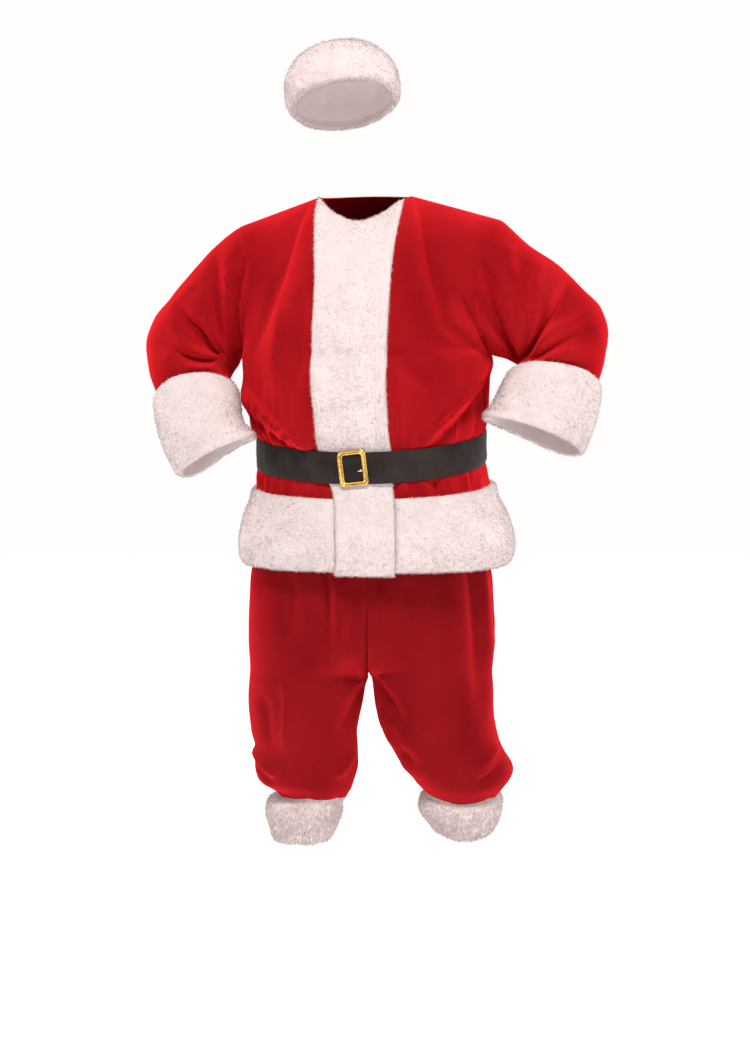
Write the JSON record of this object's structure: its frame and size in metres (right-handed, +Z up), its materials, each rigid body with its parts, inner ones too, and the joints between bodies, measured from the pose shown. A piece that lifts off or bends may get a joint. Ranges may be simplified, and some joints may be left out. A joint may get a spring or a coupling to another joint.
{
  "type": "santa suit with jacket, belt, trousers and hat",
  "caption": "Red velvet costume suit with white plush trim, kept hollow in a hands-on-hips pose: belted jacket, cropped trousers with plush leg cuffs, and hat.",
  "frame": {"origin": "between the wearer's shoulders at the base of the neck, 1.49 m above the ground the wearer stands on", "axes": "+Z up, -Y out of the front, +X to the wearer's left"},
  "size_m": [0.8752, 0.4535, 1.5195],
  "materials": {
    "red_velvet": "soft velvet with a satin sheen",
    "red_velvet_trousers": "soft velvet, a little duller",
    "white_plush": "short dense plush pile",
    "black_vinyl": "black imitation leather, satin",
    "gold_metal": "polished gold colour"
  },
  "bodies": {
    "root": {"jacket_front_right": "red_velvet", "jacket_front_left": "red_velvet", "jacket_back": "red_velvet", "sleeve_left": "red_velvet", "sleeve_right": "red_velvet", "front_band": "white_plush", "hem_band_front_right": "white_plush", "hem_band_front_left": "white_plush", "hem_band_back": "white_plush", "sleeve_cuff_left": "white_plush", "sleeve_cuff_right": "white_plush", "belt": "black_vinyl", "belt_buckle": "gold_metal", "belt_prong": "gold_metal", "trouser_front_left": "red_velvet_trousers", "trouser_front_right": "red_velvet_trousers", "trouser_back_left": "red_velvet_trousers", "trouser_back_right": "red_velvet_trousers", "trouser_waistband": "red_velvet_trousers", "leg_cuff_left": "white_plush", "leg_cuff_right": "white_plush", "hat_band": "white_plush", "hat_crown": "red_velvet"}
  },
  "joints": []
}
